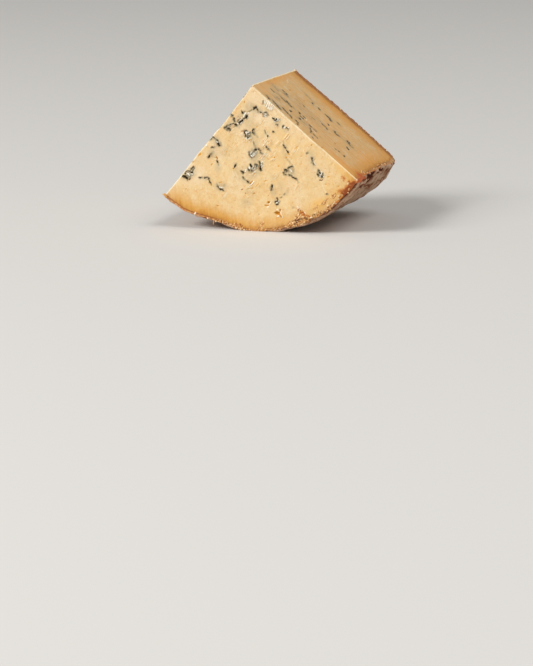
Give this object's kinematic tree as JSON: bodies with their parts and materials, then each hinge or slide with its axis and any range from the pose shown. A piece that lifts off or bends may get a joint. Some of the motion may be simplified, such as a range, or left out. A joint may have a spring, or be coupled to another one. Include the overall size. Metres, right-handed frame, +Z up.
{
  "type": "blue cheese wedge",
  "caption": "Thick quarter wedge of blue-veined cheese with a wrinkled brown-grey rind, standing on its curved rind with the point up.",
  "frame": {"origin": "on the surface that the wedge stands on, under the middle of its bounding box", "axes": "+X across the front cut to the right, +Y from the front cut back to the drum's flat top rind, +Z up through the point of the wedge"},
  "size_m": [0.1368, 0.0999, 0.0979],
  "materials": {
    "cheese": "moist, waxy cream-yellow paste with blue-green veins; dry, dusty pinkish-brown rind"
  },
  "bodies": {
    "root": {"cheese_wedge": "cheese"}
  },
  "joints": []
}
